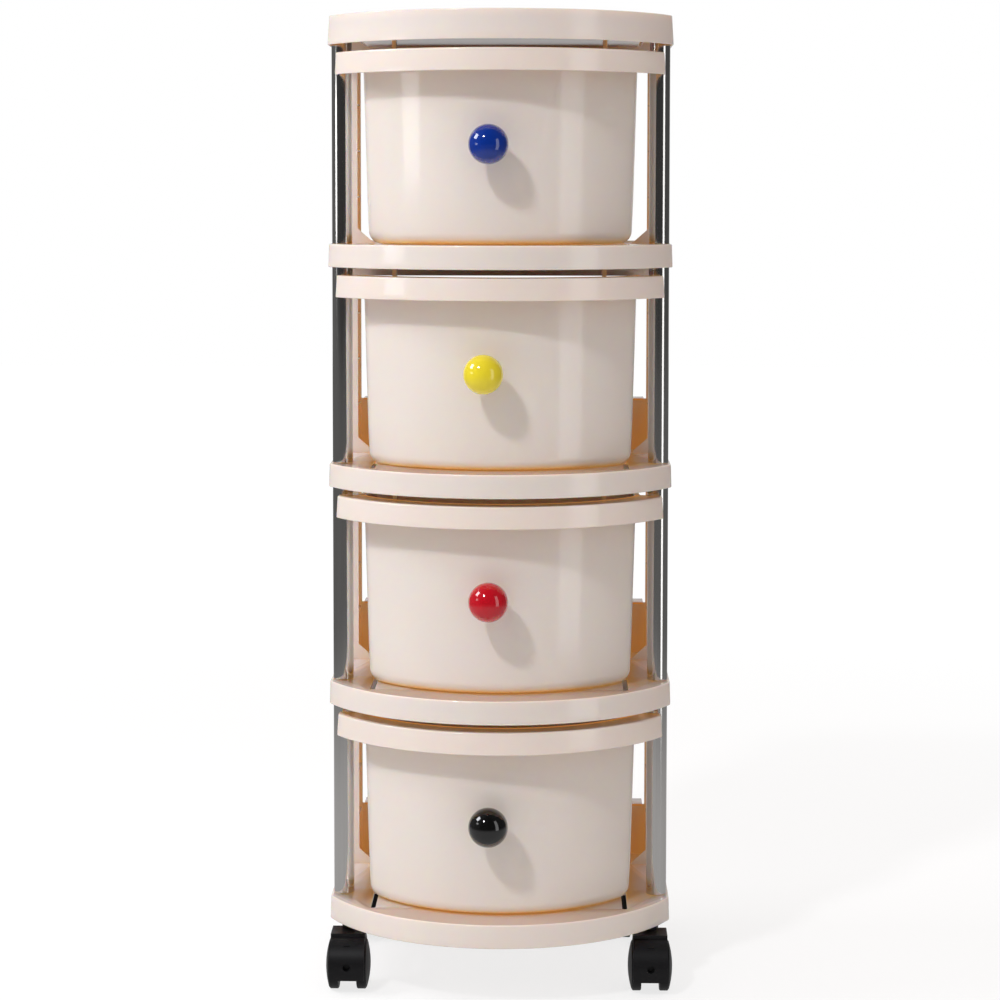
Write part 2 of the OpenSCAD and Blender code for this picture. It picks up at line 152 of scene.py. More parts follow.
def plan_loop(bm, half_w, radius, corner_r, inset, z, back_y=None, end_y=None):
    """A tray's or tub's outline moved inwards by inset: a bow in front, round corners and
    straight sides, closed, or open at the back at end_y. Returns its edges."""
    half_w, radius, corner_r = half_w - inset, radius - inset, corner_r - inset
    cx = half_w - corner_r
    dy = math.sqrt((radius - corner_r) ** 2 - cx ** 2)
    spread = math.atan2(cx, dy)
    start = bm.verts.new((0.0, ARC_Y - radius, z))
    back = None if back_y is None else bm.verts.new((0.0, back_y - inset, z))
    for side in (1, -1):
        tip = swing(bm, start, (0.0, ARC_Y, z), side * spread, sizes().bow_steps)
        tip = swing(bm, tip, (side * cx, ARC_Y - dy, z), side * (math.pi / 2 - spread), 8)
        if back is None:
            bm.edges.new((tip, bm.verts.new((side * half_w, end_y, z))))
            continue
        turn_y = back_y - inset - corner_r
        far = bm.verts.new((side * half_w, turn_y, z))
        bm.edges.new((tip, far))
        tip = swing(bm, far, (side * cx, turn_y, z), side * math.pi / 2, 8)
        bm.edges.new((tip, back))
    return joined_edges(start)


def skin(bm, loops):
    """Walls between each outline and the next."""
    for low, high in zip(loops, loops[1:]):
        bmesh.ops.bridge_loops(bm, edges=low + high)


def cap(bm, loop):
    return bmesh.ops.contextual_create(bm, geom=loop)["faces"]


def slab(bm, low, high, inset, plan):
    """A plate between two heights, of an outline moved inwards by inset."""
    loops = [plan_loop(bm, inset=inset, z=z, **plan) for z in (low, high)]
    skin(bm, loops)
    for loop in loops:
        cap(bm, loop)


def cut_away(bm, place, away):
    """Drops what lies beyond a plane, on its away side, and closes the cut."""
    made = bm.verts[:] + bm.edges[:] + bm.faces[:]
    cut = bmesh.ops.bisect_plane(bm, geom=made, plane_co=place, plane_no=away, clear_outer=True)
    cap(bm, [g for g in cut["geom_cut"] if isinstance(g, bmesh.types.BMEdge)])


def block(bm, low, high, edge=0.35):
    """A moulded block between two corners with soft edges."""
    low, high = Vector(low), Vector(high)
    made = bmesh.ops.create_cube(bm, size=1.0)["verts"]
    bmesh.ops.scale(bm, verts=made, vec=high - low)
    bmesh.ops.translate(bm, verts=made, vec=(low + high) / 2)
    edges = list({e for v in made for e in v.link_edges})
    bmesh.ops.bevel(bm, geom=edges, offset=edge, segments=2, affect="EDGES", profile=0.5,
                    material=-1, clamp_overlap=True)


def turned(bm, section, centre, axis, steps=48):
    """A piece turned from a section of (radius, height) pairs about an axis."""
    axis = Vector(axis).normalized()
    side = axis.orthogonal().normalized()
    known = set(bm.verts)
    last = None
    verts = []
    for radius, height in section:
        v = bm.verts.new(Vector(centre) + side * radius + axis * height)
        verts.append(v)
        if last is not None:
            bm.edges.new((last, v))
        last = v
    edges = [e for v in verts for e in v.link_edges]
    bmesh.ops.spin(bm, geom=verts + list(set(edges)), cent=centre, axis=axis,
                   angle=2 * math.pi, steps=steps, use_merge=True)
    made = new_verts(bm, known)
    bmesh.ops.remove_doubles(bm, verts=made, dist=0.0005)


def arc(cx, cy, radius, start, end, steps):
    """Points of an arc in a section, angles in degrees."""
    return [(cx + radius * math.cos(math.radians(start + (end - start) * i / steps)),
             cy + radius * math.sin(math.radians(start + (end - start) * i / steps)))
            for i in range(steps + 1)]


def finish_mesh(bm, name, materials, smooth_angle=32.0):
    """Turns a bmesh drawn in millimetres into an object in metres, in its place."""
    bmesh.ops.remove_doubles(bm, verts=bm.verts, dist=0.0008)
    loose = [v for v in bm.verts if not v.link_faces]
    bmesh.ops.delete(bm, geom=loose, context="VERTS")
    bmesh.ops.recalc_face_normals(bm, faces=bm.faces)
    bmesh.ops.scale(bm, verts=bm.verts, vec=(MM, MM, MM))
    limit = math.radians(smooth_angle)
    for f in bm.faces:
        f.smooth = True
    for e in bm.edges:
        e.smooth = len(e.link_faces) == 2 and e.calc_face_angle(math.pi) < limit
    mesh = bpy.data.meshes.new(name)
    bm.to_mesh(mesh)
    bm.free()
    for m in materials:
        mesh.materials.append(m)
    obj = bpy.data.objects.new(name, mesh)
    bpy.context.scene.collection.objects.link(obj)
    return obj


def cut_with(obj, cutter):
    """Takes the cutter's shape out of obj for good."""
    mod = obj.modifiers.new("cut", "BOOLEAN")
    mod.operation = "DIFFERENCE"
    mod.solver = "EXACT"
    mod.object = cutter
    bpy.context.view_layer.update()
    result = bpy.data.meshes.new_from_object(obj.evaluated_get(bpy.context.evaluated_depsgraph_get()))
    obj.modifiers.remove(mod)
    old = obj.data
    obj.data = result
    obj.data.name = old.name
    bpy.data.meshes.remove(old)
    gone = cutter.data
    bpy.data.objects.remove(cutter)
    bpy.data.meshes.remove(gone)


def merge(obj, other):
    """Adds another object's mesh to obj's."""
    bm = bmesh.new()
    bm.from_mesh(obj.data)
    bm.from_mesh(other.data)
    bm.to_mesh(obj.data)
    bm.free()
    gone = other.data
    bpy.data.objects.remove(other)
    bpy.data.meshes.remove(gone)
    return obj


def stand_for(obj, body, slot, *nodes):
    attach(obj, body)
    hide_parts(*nodes)


# ------------------------------------------------------------------ finishes

def noise_group():
    """Fine moulded grain and slow colour drift, read from the piece's own place."""
    group = bpy.data.node_groups.get("moulded_grain")
    if group:
        return group
    group = bpy.data.node_groups.new("moulded_grain", "ShaderNodeTree")
    face = group.interface
    for name, value in (("Grain size", 900.0), ("Drift size", 9.0)):
        face.new_socket(name, in_out="INPUT", socket_type="NodeSocketFloat").default_value = value
    face.new_socket("Grain", in_out="OUTPUT", socket_type="NodeSocketFloat")
    face.new_socket("Drift", in_out="OUTPUT", socket_type="NodeSocketFloat")
    nodes, links = group.nodes, group.links
    inp, out = nodes.new("NodeGroupInput"), nodes.new("NodeGroupOutput")
    coord = nodes.new("ShaderNodeTexCoord")
    for socket, name, detail in (("Grain size", "Grain", 3.0), ("Drift size", "Drift", 2.0)):
        tex = nodes.new("ShaderNodeTexNoise")
        tex.inputs["Detail"].default_value = detail
        links.new(coord.outputs["Object"], tex.inputs["Vector"])
        links.new(inp.outputs[socket], tex.inputs["Scale"])
        links.new(tex.outputs["Fac"], out.inputs[name])
    return group


def principled(name):
    mat = bpy.data.materials.new(name)
    mat.use_nodes = True
    nodes = mat.node_tree.nodes
    return mat, nodes, mat.node_tree.links, nodes["Principled BSDF"]


def moulded(name, colour, roughness, grain=0.04, drift=0.03, bump=0.02, coat=0.0, grain_size=900.0):
    """Moulded plastic: slow colour drift, fine grain in gloss and surface."""
    mat, nodes, links, bsdf = principled(name)
    grp = nodes.new("ShaderNodeGroup")
    grp.node_tree = noise_group()
    grp.inputs["Grain size"].default_value = grain_size
    ramp = nodes.new("ShaderNodeMix")
    ramp.data_type = "RGBA"
    links.new(grp.outputs["Drift"], ramp.inputs["Factor"])
    ramp.inputs["A"].default_value = tuple(c * (1 - drift) for c in colour) + (1,)
    ramp.inputs["B"].default_value = tuple(min(1.0, c * (1 + drift)) for c in colour) + (1,)
    links.new(ramp.outputs["Result"], bsdf.inputs["Base Color"])
    rough = nodes.new("ShaderNodeMapRange")
    rough.inputs["To Min"].default_value = roughness - grain
    rough.inputs["To Max"].default_value = roughness + grain
    links.new(grp.outputs["Grain"], rough.inputs["Value"])
    links.new(rough.outputs["Result"], bsdf.inputs["Roughness"])
    if bump:
        bumper = nodes.new("ShaderNodeBump")
        bumper.inputs["Strength"].default_value = bump
        bumper.inputs["Distance"].default_value = 0.0002
        links.new(grp.outputs["Grain"], bumper.inputs["Height"])
        links.new(bumper.outputs["Normal"], bsdf.inputs["Normal"])
    bsdf.inputs["Coat Weight"].default_value = coat
    bsdf.inputs["Coat Roughness"].default_value = 0.05
    return mat


def paint_shade_and_glow_in_recesses(mat, painted_shade, reach):
    """Painted shade: turns the base colour towards the warm painted shade colour where other walls stand
    close by, and adds a faint painted glow there, standing in for light that passes through the plastic."""
    nodes, links = mat.node_tree.nodes, mat.node_tree.links
    bsdf = nodes["Principled BSDF"]
    base = bsdf.inputs["Base Color"].links[0].from_socket
    near = nodes.new("ShaderNodeAmbientOcclusion")
    near.samples = 8
    near.inputs["Distance"].default_value = reach
    # mask of the painted shade: the more closely other walls surround a point, the more its colour is painted
    # warm and dark
    depth = nodes.new("ShaderNodeMapRange")
    depth.interpolation_type = "SMOOTHSTEP"
    depth.inputs["From Min"].default_value = 0.32
    depth.inputs["From Max"].default_value = 0.05
    links.new(near.outputs["AO"], depth.inputs["Value"])
    tint = nodes.new("ShaderNodeMix")
    tint.data_type = "RGBA"
    tint.inputs["B"].default_value = tuple(painted_shade) + (1,)
    links.new(depth.outputs["Result"], tint.inputs["Factor"])
    links.new(base, tint.inputs["A"])
    links.new(tint.outputs["Result"], bsdf.inputs["Base Color"])
    # painted glow: faint emission in the recesses, though the plastic is no lamp
    painted_glow = nodes.new("ShaderNodeMath")
    painted_glow.operation = "MULTIPLY"
    painted_glow.inputs[1].default_value = 0.09
    links.new(depth.outputs["Result"], painted_glow.inputs[0])
    links.new(painted_glow.outputs[0], bsdf.inputs["Emission Strength"])
    bsdf.inputs["Emission Color"].default_value = tuple(painted_shade) + (1,)


def make_finishes():
    c = colours()
    made = {}
    made["cream"] = moulded("cream plastic", c.cream, 0.12, grain=0.025, bump=0.02)
    # painted shade and painted glow in the cream plastic's recesses
    paint_shade_and_glow_in_recesses(made["cream"], c.painted_shade, 0.06)
    bsdf = made["cream"].node_tree.nodes["Principled BSDF"]
    bsdf.inputs["Subsurface Weight"].default_value = 0.4
    bsdf.inputs["Subsurface Radius"].default_value = (1.0, 0.5, 0.2)
    bsdf.inputs["Subsurface Scale"].default_value = 0.006
    for name, colour in (("blue", c.blue), ("yellow", c.yellow), ("red", c.red), ("black", c.black)):
        made["knob_" + name] = moulded(name + " knob", colour, 0.09, grain=0.01, drift=0.06, bump=0.0,
                                       coat=0.6)
    made["castor"] = moulded("castor plastic", c.castor, 0.42, grain=0.08, drift=0.2, bump=0.12,
                             grain_size=1600.0)
    made["castor"].node_tree.nodes["Principled BSDF"].inputs["Specular IOR Level"].default_value = 0.25
    made["chrome"] = tube_chrome()
    made["steel"] = zinc_steel()
    return made


def tube_chrome():
    """Bright plated tube: faint drawn lines along its length."""
    mat, nodes, links, bsdf = principled("bright tube")
    coord = nodes.new("ShaderNodeTexCoord")
    stretch = nodes.new("ShaderNodeMapping")
    stretch.inputs["Scale"].default_value = (1400.0, 1400.0, 6.0)
    tex = nodes.new("ShaderNodeTexNoise")
    tex.inputs["Scale"].default_value = 1.0
    links.new(coord.outputs["Object"], stretch.inputs["Vector"])
    links.new(stretch.outputs["Vector"], tex.inputs["Vector"])
    rough = nodes.new("ShaderNodeMapRange")
    rough.inputs["To Min"].default_value = 0.07
    rough.inputs["To Max"].default_value = 0.17
    links.new(tex.outputs["Fac"], rough.inputs["Value"])
    links.new(rough.outputs["Result"], bsdf.inputs["Roughness"])
    tint = nodes.new("ShaderNodeMix")
    tint.data_type = "RGBA"
    tint.inputs["A"].default_value = (0.62, 0.60, 0.58, 1)
    tint.inputs["B"].default_value = (0.72, 0.71, 0.70, 1)
    links.new(tex.outputs["Fac"], tint.inputs["Factor"])
    links.new(tint.outputs["Result"], bsdf.inputs["Base Color"])
    bsdf.inputs["Metallic"].default_value = 1.0
    return mat


def zinc_steel():
    mat, nodes, links, bsdf = principled("zinc steel")
    grp = nodes.new("ShaderNodeGroup")
    grp.node_tree = noise_group()
    rough = nodes.new("ShaderNodeMapRange")
    rough.inputs["To Min"].default_value = 0.25
    rough.inputs["To Max"].default_value = 0.45
    links.new(grp.outputs["Grain"], rough.inputs["Value"])
    links.new(rough.outputs["Result"], bsdf.inputs["Roughness"])
    tint = nodes.new("ShaderNodeMix")
    tint.data_type = "RGBA"
    tint.inputs["A"].default_value = (0.50, 0.51, 0.52, 1)
    tint.inputs["B"].default_value = (0.62, 0.62, 0.60, 1)
    links.new(grp.outputs["Drift"], tint.inputs["Factor"])
    links.new(tint.outputs["Result"], bsdf.inputs["Base Color"])
    bsdf.inputs["Metallic"].default_value = 1.0
    return mat


FINISH = {}


# ------------------------------------------------------------------ the pieces

class TOWER_OT_finishes(bpy.types.Operator):
    """Make the procedural finishes and give them to the CAD pieces that stay"""
    bl_idname = "tower.finishes"
    bl_label = "Finishes"

    def execute(self, context):
        FINISH.update(make_finishes())
        kept = {"frame_screws": "steel", "knob_screw": "steel", "castor_stem": "steel",
                "castor_axle": "steel"}
        for name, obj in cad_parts.items():
            finish = next((f for start, f in kept.items() if name.startswith(start)), "cream")
            obj.data.materials.clear()
            obj.data.materials.append(FINISH[finish])
        return {"FINISHED"}


def tray_plan():
    s = sizes()
    return dict(half_w=s.tray_half, radius=BOW_R, corner_r=s.tray_corner, back_y=FRONT_Y + TRAY_D)


def tray_walls(bm, base, height, lip, lean):
    """The band round a tray, its deck and its underside, as one closed skin."""
    s = sizes()
    t, e = s.wall, s.edge_round
    deck, under = height - lip, height - lip - 3.0
    path = [(t + 1.0, under), (t + 0.2, under - 0.2), (t, under - 1.0), (t, 0.5), (t - 0.4, 0.1)]
    path += arc(0.8, 0.8, 0.8, -90, -180, 4)
    path += [(lean * k / 4, 0.8 + (height - e - 0.8) * k / 4) for k in range(1, 4)]
    path += [(lean + e * (1 - math.cos(a)), height - e + e * math.sin(a))
             for a in [math.radians(15 * k) for k in range(7)]]
    if lip > 1:
        path += [(t + lean * 0.4, height - 0.2), (t + lean * 0.4 + 0.4, height - 0.7)]
        path += [(t + 1.0, deck + 0.9), (t + 1.35, deck + 0.3), (t + 2.1, deck)]
    else:
        path += [(t + 0.5, height - 0.02), (t + 1.0, deck)]
    loops = [plan_loop(bm, inset=i, z=base + z, **tray_plan()) for i, z in path]
    skin(bm, loops)
    cap(bm, loops[0])
    cap(bm, loops[-1])


def below_step(bm, base, low, high, inset):
    """A plate or pocket of the tray's outline, from the step in the deck to its back."""
    slab(bm, base + low, base + high, inset, tray_plan())
    cut_away(bm, (0, STEP_Y, 0), (0, -1, 0))


def low_underside(bm, base):
    """The top tray's closed underside, which hangs between its rails almost to the band's edge."""
    slab(bm, base + 5, base + 7, 1.4, tray_plan())
    for side in (-1, 1):
        cut_away(bm, (side * 130, 0, 0), (side, 0, 0))
    cut_away(bm, (0, FRONT_Y + 228, 0), (0, 1, 0))


def slot_hole(bm, x, z):
    """A long slot with round ends, which a drawer's guide peg runs in."""
    r = 2.4
    near, far = FRONT_Y + 60 + r, FRONT_Y + 266 - r
    start = bm.verts.new((x - r, near, z))
    tip = swing(bm, start, (x, near, z), math.pi, 8)
    other = bm.verts.new((x + r, far, z))
    bm.edges.new((tip, other))
    tip = swing(bm, other, (x, far, z), math.pi, 8)
    bm.edges.new((tip, start))
    face = cap(bm, joined_edges(start))
    out = bmesh.ops.extrude_face_region(bm, geom=face)
    bmesh.ops.translate(bm, vec=(0, 0, 25), verts=[g for g in out["geom"]
                                                    if isinstance(g, bmesh.types.BMVert)])


def tray_fittings(bm, base, under, top):
    """Tube shoulders and spigots, frame pegs, rails and tabs under a tray."""
    for side in (-1, 1):
        post = (side * POST_X, POST_Y, base)
        spigot = [(0, -6), (7.4, -6), (8.42, -5), (8.42, 8), (9.1, 8), (9.5, 8.4), (9.5, under), (0, under)]
        turned(bm, spigot, post, (0, 0, 1))
        peg = (side * BOSS_X, FRONT_Y + 268.0, base)
        turned(bm, [(0, 10.3), (2.5, 10.3), (3, 10.8), (3, under), (0, under)], peg, (0, 0, 1), 24)
        for x, half, end_y, low in ((133, 1, 228, 6), (96, 2, 78, -11)):
            block(bm, (side * x - half, FRONT_Y + 66, base + low),
                  (side * x + half, FRONT_Y + end_y, base + under + 2.5))
        if top:
            turned(bm, [(0, 16.3), (5.2, 16.3), (5.5, 16.6), (5.5, under), (0, under)], peg, (0, 0, 1), 24)


class TOWER_OT_trays(bpy.types.Operator):
    """Build the five moulded trays"""
    bl_idname = "tower.trays"
    bl_label = "Trays"

    def execute(self, context):
        for number, node in enumerate(TRAYS):
            base = tray_base(number)
            top = number == 0
            height, lip = (27.0, 3.0) if top else (21.5, 0.2)
            rear = height - lip - 2.0
            bm = bmesh.new()
            tray_walls(bm, base, height, lip, 1.5 if top else 0.6)
            obj = finish_mesh(bm, node + "_moulding", [FINISH["cream"]])
            bm = bmesh.new()
            below_step(bm, base, rear, height + 2, 3.4)
            cut_with(obj, finish_mesh(bm, "pocket", []))
            if not top:
                bm = bmesh.new()
                for x in (-117.0, 117.0):
                    slot_hole(bm, x, base + 5)
                cut_with(obj, finish_mesh(bm, "slots", []))
            bm = bmesh.new()
            below_step(bm, base, rear - 3.0, rear - 0.6, 1.9)
            if not top:
                for x in (-100.0, 100.0):
                    block(bm, (x - 3, STEP_Y - 0.5, base + rear - 0.5),
                          (x + 3, FRONT_Y + 266, base + DECK_Z), 0.3)
                spigot = [(0, DECK_Z - 0.5), (8.42, DECK_Z - 0.5), (8.42, 34.3), (7.4, 35.3), (0, 35.3)]
                for side in (-1, 1):
                    turned(bm, spigot, (side * POST_X, POST_Y, base), (0, 0, 1))
            if number < 4:
                tray_fittings(bm, base, rear - 3.0, top)
            obj = merge(obj, finish_mesh(bm, "fittings", []))
            if top:
                bm = bmesh.new()
                low_underside(bm, base)
                obj = merge(obj, finish_mesh(bm, "underside", []))
            stand_for(obj, "tower", "cream", node)
        return {"FINISHED"}


class TOWER_OT_tubes(bpy.types.Operator):
    """Build the bright tubes with their rolled ends"""
    bl_idname = "tower.tubes"
    bl_label = "Tubes"

    def execute(self, context):
        for name, side in (("left", -1), ("right", 1)):
            for tier in range(1, 5):
                base = tray_base(tier)
                low, high = base + DECK_Z, base + TIER_H + 8
                bm = bmesh.new()
                turned(bm, [(8.55, low + 0.3), (8.8, low), (9.2, low), (9.5, low + 0.3)]
                       + [(9.5, low + (high - low) * k / 6) for k in range(1, 6)]
                       + [(9.5, high - 0.3), (9.2, high), (8.8, high), (8.55, high - 0.3), (8.55, low + 0.3)],
                       (side * POST_X, POST_Y, 0.0), (0, 0, 1), 96)
                node = "post_%s_%d" % (name, tier)
                obj = finish_mesh(bm, node + "_tube", [FINISH["chrome"]])
                stand_for(obj, "tower", "chrome", node)
        return {"FINISHED"}


def tub_shell(bm, z0):
    """A drawer's tub: leaning walls, a rounded edge round the floor, a rolled top edge."""
    s = sizes()
    top, t, r = 176.0, s.wall, s.tub_round
    outline = dict(half_w=127.0, radius=150.75, corner_r=32.0, back_y=TUB_BACK_Y)

    def lean(z):
        return 5.0 * (1 - z / top)

    def wall(offset, low, radius):
        pts = [(offset + lean(low) + radius * (1 - math.cos(math.radians(a))),
                low + radius * (1 - math.sin(math.radians(a)))) for a in range(90, -1, -10)]
        pts += [(offset + lean(z), z) for z in (40, 80, 120, 150, 172)]
        return pts
    path = wall(0.0, 0.0, r)
    path += [(0.05, 174.0), (0.3, 175.3), (0.8, 175.9), (1.2, 175.9), (1.7, 175.4), (2.0, 174.4)]
    path += list(reversed(wall(t, t, r - t)))
    loops = [plan_loop(bm, inset=i, z=z0 + z, **outline) for i, z in path]
    skin(bm, loops)
    cap(bm, loops[0])
    cap(bm, loops[-1])


def rim_band(bm, z0):
    """The bowed ledge and flared skirt round the front of a drawer."""
    end = FRONT_Y + 100.0
    rim = dict(half_w=152.0, radius=175.4, corner_r=6.4, end_y=end)
    tub = dict(half_w=127.0, radius=150.75, corner_r=32.0, end_y=end)
    path = [(tub, 1.0, 174.0), (rim, 3.0, 174.0), (rim, 2.1, 156.1), (rim, 1.6, 155.5), (rim, 0.6, 155.5),
            (rim, 0.1, 155.9), (rim, 0.02, 156.4)]
    path += [(rim, 1.2 * (z - 155.5) / 20.5, z) for z in (161.0, 167.0, 173.6)]
    path += [(rim, 1.06 + 1.5 * (1 - math.cos(a)), 174.3 + 1.5 * math.sin(a))
             for a in (math.radians(22.5), math.radians(45), math.radians(67.5), math.radians(90))]
    path += [(rim, 5.0, 175.8), (tub, 1.0, 175.8)]
    loops = [plan_loop(bm, inset=i, z=z0 + z, **shape) for shape, i, z in path]
    skin(bm, loops + [loops[0]])
    bmesh.ops.remove_doubles(bm, verts=bm.verts, dist=0.0008)
    rims = [e for e in bm.edges if len(e.link_faces) == 1]
    bmesh.ops.holes_fill(bm, edges=rims, sides=0)


def back_lip(bm, z0):
    """The narrow lip along the sides and the back of a tub."""
    outline = dict(half_w=131.0, radius=154.75, corner_r=36.0, back_y=TUB_BACK_Y + 4)
    path = [(4.6, 173.0), (0.4, 173.0), (0.0, 173.4), (0.0, 175.2), (0.25, 175.6), (0.7, 175.8), (4.6, 175.8)]
    loops = [plan_loop(bm, inset=i, z=z0 + z, **outline) for i, z in path]
    skin(bm, loops + [loops[0]])


def sink_back(bm, z0):
    """Lets a tub's top edge sink towards the back."""
    depth, from_y, over_y, from_z, over_z = 9.0, FRONT_Y + 110, 150, z0 + 110, 60
    for v in bm.verts:
        back = min(1.0, max(0.0, (v.co.y - from_y) / over_y))
        high = min(1.0, max(0.0, (v.co.z - from_z) / over_z))
        v.co.z -= depth * high * back * back * (3 - 2 * back)


class TOWER_OT_drawers(bpy.types.Operator):
    """Build the four tub drawers with their bowed rims"""
    bl_idname = "tower.drawers"
    bl_label = "Drawers"

    def execute(self, context):
        for tier in range(1, 5):
            z0 = tray_base(tier) + DRAWER_Z
            bm = bmesh.new()
            tub_shell(bm, z0)
            rim = bmesh.new()
            rim_band(rim, z0)
            lip = bmesh.new()
            back_lip(lip, z0)
            for part in (rim, lip):
                bmesh.ops.recalc_face_normals(part, faces=part.faces)
                spare = bpy.data.meshes.new("spare")
                part.to_mesh(spare)
                part.free()
                bm.from_mesh(spare)
                bpy.data.meshes.remove(spare)
            for side in (-1, 1):
                block(bm, (side * 117 - 1.8, FRONT_Y + 246, z0 - 5.2),
                      (side * 117 + 1.8, FRONT_Y + 255, z0 + 2))
            pad = (KNOB_X[tier - 1], FRONT_Y, z0 + KNOB_Z)
            ring = [(2.1, 26.2), (8.6, 26.2), (9.0, 26.6), (9.0, 31.9), (8.6, 32.4), (2.1, 32.4), (2.1, 26.2)]
            turned(bm, ring, pad, (0, 1, 0), 48)
            sink_back(bm, z0)
            obj = finish_mesh(bm, "drawer_%d_tub" % tier, [FINISH["cream"]])
            stand_for(obj, "drawer_%d" % tier, "cream", "drawer_%d" % tier)
        return {"FINISHED"}


class TOWER_OT_knobs(bpy.types.Operator):
    """Build the four ball knobs on their necks"""
    bl_idname = "tower.knobs"
    bl_label = "Knobs"

    def execute(self, context):
        r = sizes().knob_d / 2
        for tier, name in enumerate(("blue", "yellow", "red", "black"), 1):
            z = tray_base(tier) + DRAWER_Z + KNOB_Z
            bm = bmesh.new()
            neck = math.degrees(math.asin(6.5 / r))
            section = [(r * math.sin(math.radians(a)), -r * math.cos(math.radians(a)))
                       for a in [180 * k / 40 for k in range(41)] if a < 180 - neck]
            section += [(6.9, math.sqrt(r * r - 6.5 ** 2) + 0.5), (6.5, 18.0), (6.5, 23.6), (6.9, 24.1),
                        (8.2, 24.2), (8.5, 24.5), (8.5, 26.0), (8.3, 26.2), (1.9, 26.2), (1.9, 5.0),
                        (0.0, 5.0)]
            turned(bm, section, (KNOB_X[tier - 1], FRONT_Y, z), (0, 1, 0), 96)
            obj = finish_mesh(bm, "knob_%d_ball" % tier, [FINISH["knob_" + name]], 40)
            stand_for(obj, "drawer_%d" % tier, "knob_" + name, "knob_%d" % tier)
        return {"FINISHED"}


def portal(bm, y0, y1, z0, gussets, head=187.5):
    """One face of a back frame: a portal, its lower corners cut off at a slant."""
    right = [(125 if gussets else 142, 0), (156.5, 0), (156.5, 202), (0, 202), (0, head), (142, head)]
    if gussets:
        right.append((142, 15))
    known = set(bm.verts)
    ring = [bm.verts.new((x, y0, z0 + z)) for x, z in right]
    face = [bm.faces.new(ring)]
    bmesh.ops.mirror(bm, geom=list(set(ring)) + face, axis="X", merge_dist=0.001, matrix=Matrix.Identity(4))
    made = new_verts(bm, known)
    faces = list({f for v in made for f in v.link_faces})
    bmesh.ops.recalc_face_normals(bm, faces=faces)
    out = bmesh.ops.extrude_face_region(bm, geom=faces)
    bmesh.ops.translate(bm, vec=(0, y1 - y0, 0), verts=[g for g in out["geom"]
                                                       if isinstance(g, bmesh.types.BMVert)])
    made = new_verts(bm, known)
    edges = [e for e in {e for v in made for e in v.link_edges}
             if len(e.link_faces) == 2 and e.calc_face_angle(0) > 0.3]
    bmesh.ops.bevel(bm, geom=edges, offset=0.4, segments=2, affect="EDGES", profile=0.5, material=-1,
                    clamp_overlap=True)


class TOWER_OT_frames(bpy.types.Operator):
    """Build the four moulded back frames"""
    bl_idname = "tower.frames"
    bl_label = "Back frames"

    def execute(self, context):
        for tier in range(1, 5):
            z0 = tray_base(tier) + REAR_DECK_Z
            y0 = FRAME_Y
            bm = bmesh.new()
            portal(bm, y0, y0 + 2, z0, True, 174.0 if tier > 1 else 187.5)
            portal(bm, y0 + 46, y0 + 48, z0, False)
            for side in (-1, 1):
                def span(a, b):
                    return (min(side * a, side * b), max(side * a, side * b))
                lo, hi = span(154.5, 156.5)
                block(bm, (lo, y0, z0), (hi, y0 + 48, z0 + 202))
                lo, hi = span(142, 156.3)
                for z in (0, 200):
                    block(bm, (lo, y0 + 0.2, z0 + z), (hi, y0 + 47.8, z0 + z + 2))
                lo, hi = span(143, 156.3)
                for z in (45, 90, 135, 180):
                    block(bm, (lo, y0 + 0.4, z0 + z), (hi, y0 + 47.6, z0 + z + 1.6))
                turned(bm, [(1.7, 0.5), (4.5, 0.5), (4.5, 13.6), (4.1, 14), (1.7, 14), (1.7, 0.5)],
                       (side * BOSS_X, FRONT_Y + 244.0, z0), (0, 0, 1), 24)
            if tier > 1:
                block(bm, (-142, y0 + 46.1, z0), (142, y0 + 47.9, z0 + 50.5))
                block(bm, (-140, y0 + 46.1, z0 + 48.5), (140, y0 + 72, z0 + 50.5))
                block(bm, (-140, y0 + 70, z0), (140, y0 + 72, z0 + 50.4))
                for x in (-140, -50, 48, 138):
                    block(bm, (x, y0 + 46.2, z0), (x + 2, y0 + 71.8, z0 + 50.3))
            obj = finish_mesh(bm, "back_frame_%d_moulding" % tier, [FINISH["cream"]])
            stand_for(obj, "tower", "cream", "back_frame_%d" % tier)
        return {"FINISHED"}


class TOWER_OT_castors(bpy.types.Operator):
    """Give the CAD castor hoods and twin wheels their finish"""
    bl_idname = "tower.castors"
    bl_label = "Castors"

    def execute(self, context):
        for corner in CORNERS:
            for half in ("left", "right"):
                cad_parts["wheel_%s_%s" % (corner, half)].data.materials[0] = FINISH["castor"]
            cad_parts["castor_hood_" + corner].data.materials[0] = FINISH["castor"]
        return {"FINISHED"}


# ------------------------------------------------------------------ studio

def ring_of_light(nodes, links, vector):
    """What bright metal and gloss see all round: a pale backdrop behind, a dark room in front."""
    split = nodes.new("ShaderNodeSeparateXYZ")
    links.new(vector, split.inputs[0])
    angle = nodes.new("ShaderNodeMath")
    angle.operation = "ARCTAN2"
    back = nodes.new("ShaderNodeMath")
    back.operation = "MULTIPLY"
    back.inputs[1].default_value = -1.0
    links.new(split.outputs["Y"], back.inputs[0])
    links.new(split.outputs["X"], angle.inputs[0])
    links.new(back.outputs[0], angle.inputs[1])
    turn = nodes.new("ShaderNodeMapRange")
    turn.inputs["From Min"].default_value = -math.pi
    turn.inputs["From Max"].default_value = math.pi
    links.new(angle.outputs[0], turn.inputs["Value"])
    ramp = nodes.new("ShaderNodeValToRGB")
    stops = [(-180, 0.62), (-152, 0.62), (-140, 0.10), (-100, 0.14), (-52, 0.10), (-44, 0.04),
             (30, 0.04), (70, 0.07), (140, 0.08), (152, 0.62), (180, 0.62)]
    while len(ramp.color_ramp.elements) < len(stops):
        ramp.color_ramp.elements.new(0.5)
    for element, (degrees, level) in zip(ramp.color_ramp.elements, stops):
        element.position = (degrees + 180) / 360
        element.color = (level, level, level, 1)
    links.new(turn.outputs["Result"], ramp.inputs["Fac"])
    return ramp.outputs["Color"]


